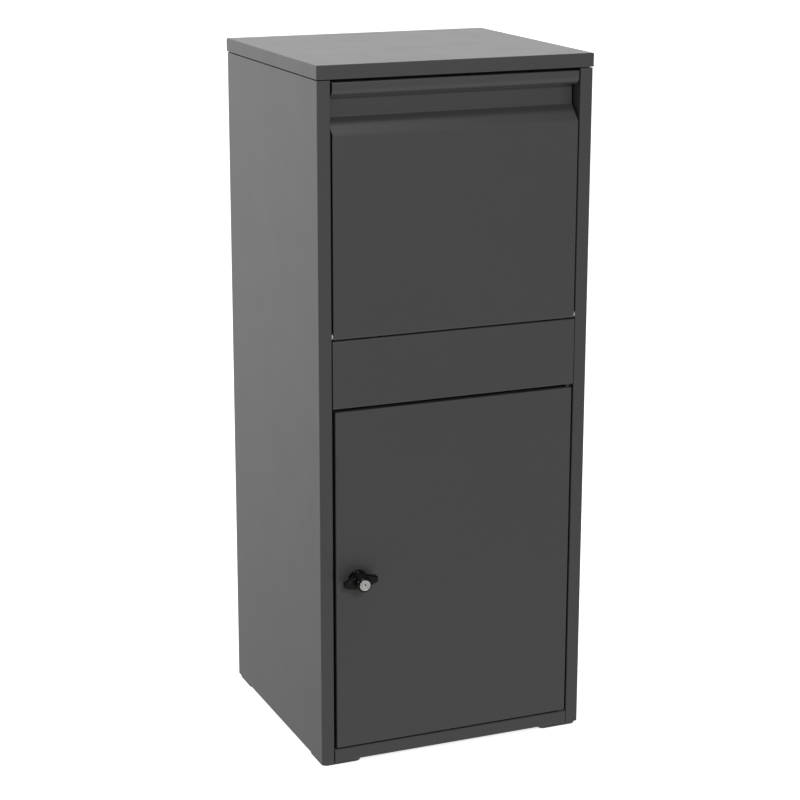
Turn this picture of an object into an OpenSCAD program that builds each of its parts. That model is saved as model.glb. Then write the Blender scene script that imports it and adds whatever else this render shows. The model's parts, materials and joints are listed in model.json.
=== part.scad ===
// Parcel drop box: a free-standing folded-sheet cabinet with a tilt-out drop door and
// hopper above, a fixed middle panel, and a keyed access door below.
// X runs left to right, the front face looks towards -Y, and Z is up from the floor.

/* [Cabinet] */
// Width of the cap
body_w = 410; // [360:1:480]
// Depth from front face to rear face
body_d = 370; // [350:1:420]
// Height from the floor to the top of the cap
body_h = 1000; // [960:1:1100]
// Thickness of the steel sheet
sheet_t = 1.2; // [1:0.1:1.5]
// Width of the front stile on each side panel
stile_w = 19.2; // [18:0.2:26]
// Depth of the stile's inner return
return_d = 22; // [20:0.5:26]
// Height of the cap
cap_h = 19.2; // [16:0.1:24]
// How far the cap stands out over each side panel
cap_over = 0.8; // [0:0.1:1.5]
// Shadow gap between the cap and the side panels
cap_gap = 1.1; // [0.3:0.1:1.2]
// Width of the horizontal flanges that join the panels
flange_w = 18; // [16:0.5:20]

/* [Front layout] */
// Height of the front rail below the access door
rail_h = 19.7; // [16:0.1:24]
// Gap between the front rail and the access door
access_gap_low = 2; // [1.8:0.1:4]
// Height of the access door
access_door_h = 498.3; // [440:0.1:520]
// Gap between the access door and the middle panel
access_gap_high = 4.5; // [4:0.1:6]
// Gap at each end of the front rail, the middle panel and the lintel
end_gap = 0.9; // [0.3:0.1:1.2]
// Height of the fixed middle panel
mid_panel_h = 96; // [90:0.5:110]
// Seam between the middle panel and the drop door
drop_seam = 1.5; // [1.4:0.1:2]
// Gap between the drop door and the cap
drop_gap_top = 4.1; // [4:0.1:6]
// Gap beside the access door on its lock edge
lock_edge_gap = 4; // [3:0.1:5]
// Gap beside both doors on their hinge edges
door_edge_gap = 2.3; // [2.2:0.1:3]

/* [Drop door] */
// How far the drop door tilts out, in degrees
drop_open = 60; // [30:1:60]
// Height of the flat lip above the finger recess
lip_h = 19.5; // [17:0.5:22]
// Depth of the finger recess
recess_depth = 21; // [16:0.5:22]
// Height of the recess from the lip's underside to the crease
recess_h = 28.5; // [24:0.5:32]
// Height of the slope from the crease back to the face
recess_slope_h = 21.5; // [18:0.5:26]
// Radius of the rolled underside of the lip
lip_roll = 11; // [9:0.5:12]
// Distance of both doors' pivot axes behind the front face
pivot_in = 5.5; // [5:0.1:6]
// Height of the drop door's pivot above its bottom edge
pivot_up = 5; // [4.9:0.1:5.5]

/* [Hopper] */
// Outer radius of the hopper's side plates about the pivot
hopper_r = 335; // [300:1:338]
// Length of the tray from the pivot
tray_len = 325; // [280:1:330]
// Downward angle of the tray with the door closed
tray_angle = 57; // [50:1:60]

/* [Lock] */
// Distance of the lock axis from the access door's lock edge
lock_inset = 32; // [28:0.5:50]
// Height of the lock axis above the floor
lock_z = 279; // [200:1:340]
// Span of the knob's wings
wing_span = 50; // [40:1:56]
// Tilt of the wings from level when the lock is open
wing_tilt = 6; // [0:1:10]
// Diameter of the key plug's face
plug_d = 15.6; // [12:0.2:16]
// How far the plug's face stands out from the door
knob_out = 30; // [26:0.5:34]

/* [Feet and fixing] */
// Height of the feet
foot_h = 4.5; // [4:0.5:8]
// Width of one foot across the cabinet
foot_w = 60; // [40:1:70]
// Length of one foot from front to back
foot_l = 55; // [40:1:70]
// Diameter of the floor anchor holes
anchor_d = 10; // [8:0.5:12]
// Diameter of the wall fixing holes
wall_hole_d = 8; // [6:0.5:10]

/* [Hidden] */
$fn = 48;

// Clearances and sheet details shared by many parts
bend_r = 0.8;            // inside radius of a sheet bend
edge_r = 1.2;            // rounding where a panel's face turns into a flange
cut = 1;                 // how far a cutting tool runs past the face it cuts
fold_step = 9;           // degrees of a fold between two points of its outline
fit = 0.05;              // radial clearance of a running fit
seam = 0.3;              // gap at a fixed sheet joint
half_w = body_w / 2 - cap_over;  // outer faces of the side panels
front = -body_d / 2;
rear = body_d / 2;
inner_x = half_w - stile_w;      // inner faces of the stiles
wall_x = half_w - sheet_t;       // inner faces of the side panels
return_y = front + return_d;     // rear edge of the stile returns

// Heights up the front
cap_z = body_h - cap_h;
side_top = cap_z - cap_gap;
rail_top = foot_h + rail_h;
access_z0 = rail_top + access_gap_low;
access_z1 = access_z0 + access_door_h;
mid_z0 = access_z1 + access_gap_high;
mid_z1 = mid_z0 + mid_panel_h;
drop_z0 = mid_z1 + drop_seam;
drop_z1 = cap_z - drop_gap_top;
drop_x = inner_x - door_edge_gap;
access_x0 = -inner_x + lock_edge_gap;
access_x1 = inner_x - door_edge_gap;

// Pivots
pivot_y = front + pivot_in;
drop_pivot_z = drop_z0 + pivot_up;
hinge_out = 0.2;         // how much nearer its edge the access door's pin is
hinge_x = access_x1 - pivot_in + hinge_out;
lock_x = access_x0 + lock_inset;
pin_r = 2.5;
washer_r = 4.8;
drop_bush_r = 3.6;
bush_r = 4;              // access door's bushes

// Doors and hopper
door_return = 20;        // depth of the access door's folded edges
drop_return = 12;        // depth of the drop door's folded edges
drop_top_d = 14;         // depth of its top edge
mid_return = 12;         // depth of the middle panel's top flange
stop_lip = 12;           // height of the lips that stop the access door
lintel_leg = 12.8;
liner_y = front + drop_return;
plate_x = inner_x - 5;           // outer faces of the hopper's side plates
liner_z0 = drop_z0 + 13.5;
lip_z = drop_z1 - lip_h;
crease_z = lip_z - recess_h;
face_z = crease_z - recess_slope_h;
liner_z1 = face_z - 5;
hopper_flange = 11;
hopper_y = drop_return + sheet_t - pivot_in;   // hopper's front edge, behind the pivot
rear_angle = 25;         // lower end of the side plates' round edge, above level
tray_flange = 12;
stop_r = 320;            // distance of the stop studs from the pivot
buffer_r = 5;
buffer_l = 11;
stud_r = 2;
stop_angle = acos((return_d - pivot_in + buffer_r + seam) / stop_r) - drop_open;

// Fasteners
rivet_r = 1.6;
rivet_head_r = 3.2;
rivet_head_h = 1;
screw_r = 2.1;
screw_head_r = 4;
screw_head_h = 2.4;
cap_screw_l = 5;
foot_screw_l = 6;
foot_inset = 1.5;
foot_corner = 8;
cap_screw_x = 100;
cap_screw_y = [-100, 60];
back_rivet_z = [60 : 170 : 910];
mid_rivet_edge = 22;     // from the middle panel's top and bottom edges
mid_rivet_in = 12;       // behind the front face
anchor_x = 125;
anchor_y = 100;
bumper_x = [-120, 120];
wall_hole_x = 125;
wall_hole_z = [200, 800];
side_rivet_z = [60, 140, 220];   // above the drop door's pivot
side_rivet_edge = 6;
tray_rivet_x = [-110, 0, 110];
tray_rivet_z = 25;
tray_rivet_r = [60, 180, 300];   // along the tray from the pivot
tray_rivet_up = 8;
drill = 8;               // half-length of the drills that cut fastener holes

// Lock
lock_barrel_r = 9.4;
lock_flange_r = 14;
lock_flange_h = 2;
spindle_r = 4;
cam_t = 2.5;
cam_gap = 1.2;           // from the keeper back to the cam
cam_y = return_y + sheet_t + cam_gap;    // front face of the cam
cam_len = 46;
cam_w = 18;
knob_gap = 0.2;          // from the lock's rosette forward to the knob
knob_y = front - lock_flange_h - knob_gap;
plug_r = plug_d / 2;

steel_grey = "#47494b";
liner_grey = "#4d4f51";
zinc = "#a9acae";
black = "#1b1b1c";
rubber = "#2a2a2b";

// ---- Shared shapes ----

function heading(p, q) = atan2(q.y - p.y, q.x - p.x);
function wrapped(a) = a > 180 ? a - 360 : (a < -180 ? a + 360 : a);
function turn_at(pts, i) = wrapped(heading(pts[i], pts[i + 1]) - heading(pts[i - 1], pts[i]));
function fold_r(radii, i) = is_undef(radii[i]) ? bend_r : radii[i];

// One fold of the sheet at a corner of its path, as points on an arc. The arc lies `depth`
// to the left of the path, so 0 gives the sheet's outer face and sheet_t its inner face.
function fold_arc(pts, radii, i, depth) =
    let (turn = turn_at(pts, i), side = sign(turn), start = heading(pts[i - 1], pts[i]),
        r = fold_r(radii, i) + (turn > 0 ? sheet_t : 0),
        tangent = pts[i] - r * tan(abs(turn) / 2) * [cos(start), sin(start)],
        centre = tangent + side * r * [-sin(start), cos(start)],
        steps = ceil(abs(turn) / fold_step))
    [for (k = [0 : steps]) let (a = start + turn * k / steps)
        centre + (side * r - depth) * [sin(a), -cos(a)]];

function sheet_face(pts, radii, depth) =
    let (last = len(pts) - 1, h0 = heading(pts[0], pts[1]), h1 = heading(pts[last - 1], pts[last]))
    concat([pts[0] + depth * [-sin(h0), cos(h0)]],
        [for (i = [1 : last - 1], p = fold_arc(pts, radii, i, depth)) p],
        [pts[last] + depth * [-sin(h1), cos(h1)]]);

function reversed(v) = [for (i = [len(v) - 1 : -1 : 0]) v[i]];

// The cross-section of a folded sheet. The path is its outer face, the thickness lies to the
// left of the path, and radii holds the inside radius of each fold.
module folded(pts, radii = []) {
    polygon(concat(sheet_face(pts, radii, 0), reversed(sheet_face(pts, radii, sheet_t))));
}

// A cross-section drawn in Y and Z, run along X and centred
module along_x(width) {
    rotate([90, 0, 90]) linear_extrude(width, center = true) children();
}

// A rectangle with round corners
module round_rect(w, h, r) {
    square([w - 2 * r, h], center = true);
    square([w, h - 2 * r], center = true);
    for (x = [-1, 1], y = [-1, 1])
        translate([x * (w / 2 - r), y * (h / 2 - r)]) circle(r);
}

// A block whose edges along X and along Y are rounded, standing on z = 0
module soft_block(w, d, h, r) {
    intersection() {
        translate([0, 0, h / 2]) rotate([90, 0, 0])
            linear_extrude(d, center = true) round_rect(w, h, r);
        translate([0, 0, h / 2]) along_x(w) round_rect(d, h, r);
    }
}

module x_rod(r, x0, x1) {
    translate([x0, 0, 0]) rotate([0, 90, 0]) cylinder(r = r, h = x1 - x0);
}

module y_rod(r, y0, y1) {
    translate([0, y1, 0]) rotate([90, 0, 0]) cylinder(r = r, h = y1 - y0);
}

// A low domed fastener head on the XY plane
module dome_head(r, h) {
    rotate_extrude() intersection() {
        square([r, h]);
        translate([0, h - (r * r + h * h) / (2 * h)]) circle((r * r + h * h) / (2 * h));
    }
}

// A blind rivet through a grip of sheet: the head stands on z = 0 and the shank goes down
module rivet(grip) {
    tail_r = rivet_r + 0.6;
    tail_h = 0.8;
    dome_head(rivet_head_r, rivet_head_h);
    translate([0, 0, -grip - tail_h]) {
        cylinder(r = rivet_r, h = grip + tail_h);
        cylinder(r = tail_r, h = tail_h);
    }
}

// A pan-head screw: the head stands on z = 0 and the shank goes down
module pan_screw(shank) {
    socket_r = 1.5;
    socket_depth = 1;
    difference() {
        dome_head(screw_head_r, screw_head_h);
        translate([0, 0, screw_head_h - socket_depth])
            cylinder(r = socket_r, h = socket_depth + cut, $fn = 6);
    }
    translate([0, 0, -shank]) cylinder(r = screw_r, h = shank);
}

module rivet_hole() {
    cylinder(r = rivet_r, h = drill, center = true);
}

module screw_hole() {
    cylinder(r = screw_r + 0.3, h = drill, center = true);
}

// ---- Places of fasteners and holes ----

module at_cap_screws() {
    for (x = [-1, 1], y = cap_screw_y)
        translate([x * (half_w - flange_w / 2 - 1), y, side_top - sheet_t]) children();
    for (x = [-1, 1])
        translate([x * cap_screw_x, rear - flange_w / 2 - 2, cap_z - sheet_t]) children();
}

module at_back_rivets() {
    for (x = [-1, 1], z = back_rivet_z)
        translate([x * (half_w - stile_w / 2), rear - 2 * sheet_t, z])
            rotate([90, 0, 0]) children();
}

module at_mid_rivets() {
    for (x = [-1, 1], z = [mid_z0 + mid_rivet_edge, mid_z1 - mid_rivet_edge])
        translate([x * (inner_x - end_gap - sheet_t), front + mid_rivet_in, z])
            rotate([0, -x * 90, 0]) children();
}

module at_feet() {
    for (x = [-1, 1], y = [-1, 1])
        translate([x * (half_w - foot_inset - foot_w / 2),
            y * (rear - foot_inset - foot_l / 2), 0]) children();
}

module at_foot_screws() {
    for (x = [-1, 1], y = [-1, 1])
        translate([x * (half_w - foot_inset - 7), y * (rear - foot_inset - foot_l / 2),
            foot_h + 2 * sheet_t]) children();
}

module at_anchors() {
    for (x = [-1, 1], y = [-1, 1])
        translate([x * anchor_x, y * anchor_y, foot_h]) children();
}

module at_wall_holes() {
    for (x = [-1, 1], z = wall_hole_z) translate([x * wall_hole_x, rear, z]) children();
}

// Rivets from the hopper's side flanges and the tray's upright into the door liner
module at_liner_rivets() {
    for (x = [-1, 1], z = side_rivet_z)
        translate([x * (plate_x - side_rivet_edge), liner_y + 2 * sheet_t, drop_pivot_z + z])
            rotate([-90, 0, 0]) children();
    for (x = tray_rivet_x)
        translate([x, liner_y + 2 * sheet_t, drop_pivot_z + tray_rivet_z])
            rotate([-90, 0, 0]) children();
}

// Rivets from the hopper's side plates into the tray's folded edges
module at_tray_rivets() {
    for (x = [-1, 1], r = tray_rivet_r)
        at_drop_pivot() rotate([-tray_angle, 0, 0])
            translate([x * plate_x, r, tray_rivet_up]) rotate([0, x * 90, 0]) children();
}

module at_drop_pivot() {
    translate([0, pivot_y, drop_pivot_z]) children();
}

module at_stops() {
    at_drop_pivot() rotate([stop_angle, 0, 0]) translate([0, stop_r, 0]) children();
}

module at_lock() {
    translate([lock_x, 0, lock_z]) children();
}

// ---- Cabinet ----

// Right side panel: face, front stile with its return, rear flange, top and bottom flanges
module side_sheet() {
    flange_x = half_w - flange_w;
    rear_gap = 23;           // the flanges stop short of the back panel's fold
    intersection() {
        union() {
            translate([0, 0, foot_h]) linear_extrude(side_top - foot_h)
                folded([[inner_x, return_y], [inner_x, front], [half_w, front],
                    [half_w, rear], [inner_x, rear]]);
            for (z = [foot_h, side_top - sheet_t])
                translate([flange_x, front + sheet_t / 2, z])
                    cube([flange_w - sheet_t / 2, body_d - 2 * sheet_t - rear_gap, sheet_t]);
        }
        translate([0, 0, foot_h]) soft_block(2 * half_w, body_d, side_top - foot_h, edge_r);
    }
}

module side_holes() {
    at_cap_screws() screw_hole();
    at_foot_screws() screw_hole();
    at_back_rivets() rivet_hole();
    at_mid_rivets() rivet_hole();
    for (x = [-1, 1])
        at_drop_pivot() translate([x * inner_x, 0, 0]) x_rod(pin_r, -drill / 2, drill / 2);
}

module right_side_panel() {
    color(steel_grey) difference() {
        side_sheet();
        side_holes();
    }
}

module left_side_panel() {
    color(steel_grey) difference() {
        mirror([1, 0, 0]) side_sheet();
        side_holes();
    }
}

module back_panel() {
    face_y = rear - sheet_t;
    color(steel_grey) difference() {
        along_x(2 * (wall_x - bend_r - seam))
            folded([[face_y, foot_h + sheet_t], [face_y, cap_z], [rear - flange_w - 2, cap_z]]);
        at_back_rivets() rivet_hole();
        at_wall_holes() y_rod(wall_hole_d / 2, -drill / 2, cut);
        at_cap_screws() screw_hole();
    }
}

// Floor: a flat pan on the bottom flanges, with a front tongue and a rear upstand
module floor_pan() {
    main_y0 = return_y + 2;
    tongue_y0 = front + sheet_t + bend_r;
    pan_y1 = rear - 2 * sheet_t;
    upstand = 20;
    color(steel_grey) difference() {
        union() {
            translate([0, 0, foot_h + sheet_t]) {
                translate([-wall_x + seam, main_y0, 0])
                    cube([2 * (wall_x - seam), pan_y1 - main_y0, sheet_t]);
                translate([-inner_x + end_gap, tongue_y0, 0])
                    cube([2 * (inner_x - end_gap), main_y0 - tongue_y0, sheet_t]);
                translate([-wall_x + seam, pan_y1 - sheet_t, 0])
                    cube([2 * (wall_x - seam), sheet_t, upstand]);
            }
        }
        at_foot_screws() screw_hole();
        at_anchors() cylinder(r = anchor_d / 2, h = drill);
    }
}

// Front rail: bottom flange, face, top shelf and the lip that stops the access door
module front_rail() {
    color(steel_grey) difference() {
        along_x(2 * (inner_x - end_gap))
            folded([[return_y, rail_top + stop_lip], [return_y, rail_top], [front, rail_top],
                [front, foot_h], [return_y - 1, foot_h]]);
        translate([hinge_x, pivot_y, rail_top]) cylinder(r = bush_r, h = drill, center = true);
    }
}

// Middle panel: top flange, face, lower shelf and door stop lip, with folded end tabs
module mid_panel() {
    tab_x = inner_x - end_gap - sheet_t;
    tab_inset = 4;
    tab_l = 17;
    color(steel_grey) difference() {
        union() {
            along_x(2 * (inner_x - end_gap))
                folded([[front + mid_return, mid_z1], [front, mid_z1], [front, mid_z0],
                    [return_y, mid_z0], [return_y, mid_z0 - stop_lip]]);
            for (x = [-tab_x - sheet_t, tab_x])
                translate([x, front + sheet_t / 2, mid_z0 + tab_inset])
                    cube([sheet_t, tab_l, mid_panel_h - 2 * tab_inset]);
        }
        translate([hinge_x, pivot_y, mid_z0]) cylinder(r = bush_r, h = drill, center = true);
        at_mid_rivets() rivet_hole();
    }
}

// Angle under the cap's front rim, behind the top of the drop door
module lintel() {
    shelf_in = 9;            // its front edge, behind the front face
    color(steel_grey) along_x(2 * (inner_x - end_gap))
        folded([[return_y, cap_z - lintel_leg], [return_y, cap_z], [front + shelf_in, cap_z]]);
}

// Cap: a folded tray upside down, its rim turned inwards over the top flanges
module top_cap() {
    inner_r = 0.3;
    rim_extra = 2;           // how much wider the turned-in rim is at the front and the rear
    color(steel_grey) difference() {
        translate([0, 0, cap_z]) soft_block(body_w, body_d, cap_h, edge_r);
        translate([0, 0, cap_z + sheet_t])
            soft_block(body_w - 2 * sheet_t, body_d - 2 * sheet_t, cap_h - 2 * sheet_t, inner_r);
        translate([0, 0, cap_z + sheet_t / 2])
            cube([body_w - 2 * flange_w, body_d - 2 * (flange_w + rim_extra), 4 * sheet_t],
                center = true);
        at_cap_screws() cylinder(r = screw_r, h = cap_gap + 2 * sheet_t + cut);
    }
}

module cap_screws() {
    color(zinc) at_cap_screws() mirror([0, 0, 1]) pan_screw(cap_screw_l);
}

module back_rivets() {
    color(zinc) at_back_rivets() {
        dome_head(rivet_head_r, rivet_head_h);
        translate([0, 0, -2 * sheet_t]) cylinder(r = rivet_r, h = 2 * sheet_t);
    }
}

module mid_panel_rivets() {
    color(zinc) at_mid_rivets() rivet(2 * sheet_t + end_gap);
}

module feet() {
    step = 1;                // chamfer-like step round the sole
    tip_room = 0.4;
    color(steel_grey) difference() {
        at_feet() {
            linear_extrude(foot_h - step)
                round_rect(foot_w - 2 * step, foot_l - 2 * step, foot_corner);
            translate([0, 0, step]) linear_extrude(foot_h - step)
                round_rect(foot_w, foot_l, foot_corner);
        }
        at_foot_screws()
            translate([0, 0, -foot_screw_l - tip_room]) cylinder(r = screw_r, h = drill);
    }
}

module foot_screws() {
    color(zinc) at_foot_screws() pan_screw(foot_screw_l);
}

module drop_hinge_pins() {
    pin_l = 11;
    head_r = pin_r + 1.7;
    head_h = 1.5;
    color(zinc) at_drop_pivot() for (x = [0, 1]) mirror([x, 0, 0]) {
        x_rod(pin_r, inner_x - pin_l, inner_x + sheet_t);
        x_rod(head_r, inner_x + sheet_t, inner_x + sheet_t + head_h);
    }
}

module drop_hinge_washers() {
    play = 0.35;
    color(zinc) at_drop_pivot() for (x = [0, 1]) mirror([x, 0, 0]) difference() {
        x_rod(washer_r, inner_x - door_edge_gap + play, inner_x);
        x_rod(pin_r, inner_x - door_edge_gap - cut, inner_x + cut);
    }
}

// Flanged bushes for the access door's pins, in the front rail and in the middle panel
module access_hinge_bushes() {
    flange_r = pin_r + 3;
    flange_h = 1.2;
    bush_l = 6;
    color(rubber) translate([hinge_x, pivot_y, 0]) difference() {
        union() {
            translate([0, 0, rail_top - bush_l]) cylinder(r = bush_r, h = bush_l);
            translate([0, 0, rail_top]) cylinder(r = flange_r, h = flange_h);
            translate([0, 0, mid_z0]) cylinder(r = bush_r, h = bush_l);
            translate([0, 0, mid_z0 - flange_h]) cylinder(r = flange_r, h = flange_h);
        }
        translate([0, 0, rail_top - bush_l - cut])
            cylinder(r = pin_r + fit, h = mid_z0 - rail_top + 2 * (bush_l + cut));
    }
}

// Keeper: an angle across the hollow of the lock-side stile that the cam closes against
module lock_keeper() {
    keeper_h = 40;
    side_gap = 4;            // from the side panel's outer face
    front_gap = 6;
    color(zinc) translate([0, 0, lock_z - keeper_h / 2]) linear_extrude(keeper_h)
        mirror([1, 0]) folded([[half_w - side_gap, return_y + sheet_t],
            [inner_x + sheet_t, return_y + sheet_t], [inner_x + sheet_t, front + front_gap]]);
}

// Buttons on the stop lips, which the access door's folded edge rests on
module door_bumpers() {
    gap = return_d - door_return - seam;
    bumper_r = 4;
    in_from_end = 8;
    color(rubber) for (x = bumper_x, z = [rail_top + in_from_end, mid_z0 - in_from_end])
        translate([x, 0, z]) y_rod(bumper_r, return_y - gap, return_y);
}

// Buttons on the lintel, which the drop door's top hem rests on
module lintel_bumpers() {
    bumper_r = 4.5;
    below_top = 4;
    color(rubber) for (x = bumper_x)
        translate([x, 0, drop_z1 - below_top])
            y_rod(bumper_r, front + drop_top_d + seam, return_y - sheet_t);
}

// ---- Drop door and hopper ----

// Section of the drop door: hem, top edge, lip, finger recess, slope, face and bottom edge
module drop_profile() {
    hem = 10;
    recess_roll = 3;         // inside radii of the folds
    face_roll = 4;
    bottom_roll = 1.8;
    folded([[front + drop_top_d, drop_z1 - hem], [front + drop_top_d, drop_z1],
            [front, drop_z1],
            [front, lip_z], [front + recess_depth, lip_z], [front + recess_depth, crease_z],
            [front, face_z], [front, drop_z0], [liner_y, drop_z0]],
        [undef, undef, undef, lip_roll - sheet_t, recess_roll, recess_roll, face_roll,
            bottom_roll]);
}

// Side edge of the drop door's flat face, from mid-sheet inwards, round at its bottom corner
module drop_edge_outline() {
    y0 = front + sheet_t / 2;
    z0 = drop_z0 + sheet_t / 2;
    r = 2.4;
    translate([y0, z0 + r]) square([liner_y - y0, liner_z1 - z0 - r]);
    translate([y0 + r, z0]) square([liner_y - y0 - r, r + cut]);
    translate([y0 + r, z0 + r]) circle(r);
}

module drop_door_skin() {
    color(steel_grey) difference() {
        union() {
            along_x(2 * drop_x) drop_profile();
            for (x = [-1, 1]) translate([x * (drop_x - sheet_t / 2), 0, 0])
                along_x(sheet_t) drop_edge_outline();
        }
        at_drop_pivot() x_rod(drop_bush_r, -drop_x - cut, drop_x + cut);
    }
}

module drop_door_liner() {
    color(liner_grey) difference() {
        translate([-drop_x, liner_y, liner_z0])
            cube([2 * drop_x, sheet_t, liner_z1 - liner_z0]);
        at_liner_rivets() rivet_hole();
    }
}

module drop_hinge_bushes() {
    bush_l = 6;
    color(rubber) at_drop_pivot() for (x = [0, 1]) mirror([x, 0, 0]) difference() {
        x_rod(drop_bush_r, drop_x - bush_l, drop_x);
        x_rod(pin_r + fit, drop_x - bush_l - cut, drop_x + cut);
    }
}

// Outline of a hopper side plate in Y and Z, about the pivot
module hopper_outline() {
    recess_y = recess_depth + sheet_t + seam - pivot_in;
    step_z = liner_z1 - drop_pivot_z;
    far = 400;
    notch_top = 12;          // notch that clears the fold of the tray
    notch_in = 2;
    notch_low = 10;
    notch_end = 30;          // along the tray from the pivot
    along_tray = [cos(tray_angle), -sin(tray_angle)];
    intersection() {
        circle(hopper_r, $fn = 120);
        polygon([[hopper_y, notch_top], [hopper_y, step_z], [recess_y, step_z],
            [recess_y, far], [far, far], far * [cos(rear_angle), sin(rear_angle)],
            tray_len * along_tray, notch_end * along_tray,
            [hopper_y + notch_in, -notch_low], [hopper_y + notch_in, notch_top]]);
    }
}

// Side plate of the hopper on the right, with a front flange on the liner
module hopper_side() {
    flange_z0 = 45;
    flange_l = 195;
    difference() {
        union() {
            at_drop_pivot() translate([plate_x - sheet_t / 2, 0, 0])
                along_x(sheet_t) hopper_outline();
            translate([plate_x - hopper_flange, liner_y + sheet_t, drop_pivot_z + flange_z0])
                cube([hopper_flange, sheet_t, flange_l]);
        }
        at_liner_rivets() rivet_hole();
        at_tray_rivets() rivet_hole();
        at_stops() x_rod(stud_r, plate_x - drill / 2, plate_x + drill / 2);
    }
}

module hopper_side_right() {
    color(liner_grey) hopper_side();
}

module hopper_side_left() {
    color(liner_grey) mirror([1, 0, 0]) hopper_side();
}

// Tray: an upright on the liner, the slide itself, and a turned-down end
module hopper_tray() {
    tip = tray_len * [cos(tray_angle), -sin(tray_angle)];
    fold = hopper_y * [1, -tan(tray_angle)];
    width = 2 * (plate_x - sheet_t);
    upright = 38;
    side_start = 40;
    side_end = 5;
    color(liner_grey) difference() {
        union() {
            at_drop_pivot() along_x(width)
                folded([[hopper_y, upright], fold, tip,
                    tip - tray_flange * [sin(tray_angle), cos(tray_angle)]]);
            for (x = [-1, 1]) at_drop_pivot() rotate([-tray_angle, 0, 0])
                translate([x * (plate_x - 1.5 * sheet_t) - sheet_t / 2, side_start, sheet_t / 2])
                    cube([sheet_t, tray_len - side_start - side_end, tray_flange]);
        }
        at_liner_rivets() rivet_hole();
        at_tray_rivets() rivet_hole();
    }
}

module hopper_rivets() {
    color(zinc) {
        at_liner_rivets() rivet(2 * sheet_t);
        at_tray_rivets() rivet(2 * sheet_t);
    }
}

// Studs and rubber sleeves that meet the stile returns when the drop door is fully open
module stop_studs() {
    head_r = stud_r + 2;
    head_h = 1.5;
    color(zinc) at_stops() for (x = [0, 1]) mirror([x, 0, 0]) {
        x_rod(stud_r, plate_x - sheet_t, plate_x + buffer_l);
        x_rod(head_r, plate_x - sheet_t - head_h, plate_x - sheet_t);
        x_rod(head_r, plate_x + buffer_l, plate_x + buffer_l + head_h);
    }
}

module stop_buffers() {
    color(rubber) at_stops() for (x = [0, 1]) mirror([x, 0, 0]) difference() {
        x_rod(buffer_r, plate_x, plate_x + buffer_l);
        x_rod(stud_r, plate_x - cut, plate_x + buffer_l + cut);
    }
}

// ---- Access door ----

module access_door_skin() {
    w = access_x1 - access_x0;
    mid_x = (access_x0 + access_x1) / 2;
    corner_r = 2;
    color(steel_grey) difference() {
        intersection() {
            translate([mid_x, 0, access_z0]) linear_extrude(access_door_h) {
                translate([-w / 2, front + corner_r]) square([w, door_return - corner_r]);
                translate([-w / 2 + corner_r, front]) square([w - 2 * corner_r, corner_r + cut]);
                for (x = [-1, 1]) translate([x * (w / 2 - corner_r), front + corner_r])
                    circle(corner_r);
            }
            translate([mid_x, front + door_return, access_z0])
                soft_block(w, 2 * door_return, access_door_h, edge_r);
        }
        translate([access_x0 + sheet_t, front + sheet_t, access_z0 + sheet_t])
            cube([w - 2 * sheet_t, door_return, access_door_h - 2 * sheet_t]);
        at_lock() y_rod(lock_barrel_r, front - cut, front + 4);
        translate([hinge_x, pivot_y, access_z0 - cut])
            cylinder(r = pin_r, h = access_door_h + 2 * cut);
    }
}

// Hat-section stiffener down the middle of the access door
module access_door_stiffener() {
    hat_w = 40;
    hat_d = 12;
    foot = 14;
    end_clear = 20;
    base = front + sheet_t;
    color(liner_grey) translate([0, 0, access_z0 + end_clear])
        linear_extrude(access_door_h - 2 * end_clear)
        folded([[-hat_w / 2 - foot, base], [-hat_w / 2, base], [-hat_w / 2, base + hat_d],
            [hat_w / 2, base + hat_d], [hat_w / 2, base], [hat_w / 2 + foot, base]]);
}

// Blocks in the door's hinge-side corners that hold its pins
module access_hinge_blocks() {
    block_h = 26;
    block_d = 12;
    block_in = 7;            // past the pin, away from the door's edge
    color(zinc) for (z = [access_z0 + sheet_t, access_z1 - sheet_t - block_h])
        difference() {
            translate([hinge_x - block_in, front + sheet_t, z])
                cube([access_x1 - sheet_t - hinge_x + block_in, block_d, block_h]);
            translate([hinge_x, pivot_y, z - cut]) cylinder(r = pin_r, h = block_h + 2 * cut);
        }
}

module access_hinge_pins() {
    grip = 28;               // length held in the door
    seat = 5;                // length in the bush
    color(steel_grey) translate([hinge_x, pivot_y, 0]) {
        translate([0, 0, rail_top - seat])
            cylinder(r = pin_r, h = seat + access_gap_low + grip);
        translate([0, 0, access_z1 - grip])
            cylinder(r = pin_r, h = grip + access_gap_high + seat);
    }
}

// Rosette and barrel of the lock, drilled for the spindle
module lock_housing() {
    barrel_l = 19;           // behind the front face
    color(black) at_lock() difference() {
        union() {
            y_rod(lock_flange_r, front - lock_flange_h, front);
            y_rod(lock_barrel_r, front - cut, front + barrel_l);
        }
        y_rod(spindle_r + fit, front - lock_flange_h - cut, front + barrel_l + cut);
    }
}

module lock_nut() {
    nut_h = 4;
    nut_r = 14;              // to its corners
    nut_back = front + sheet_t + nut_h;
    color(zinc) at_lock() difference() {
        translate([0, nut_back, 0]) rotate([90, 0, 0]) cylinder(r = nut_r, h = nut_h, $fn = 6);
        y_rod(lock_barrel_r, front - cut, nut_back + cut);
    }
}

// ---- Lock knob, cam and key plug ----

// Outline of the knob's wings in X and Z
module wing_outline() {
    tip = wing_span / 2;
    tip_h = 10;
    root_h = 19;
    r = 2.4;
    for (side = [-1, 1]) {
        polygon([[0, -root_h / 2], [side * (tip - r), -tip_h / 2], [side * (tip - r), tip_h / 2],
            [0, root_h / 2]]);
        translate([side * (tip - r), 0]) square([2 * r, tip_h - 2 * r], center = true);
        for (z = [-1, 1]) translate([side * (tip - r), z * (tip_h / 2 - r)]) circle(r);
    }
}

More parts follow.
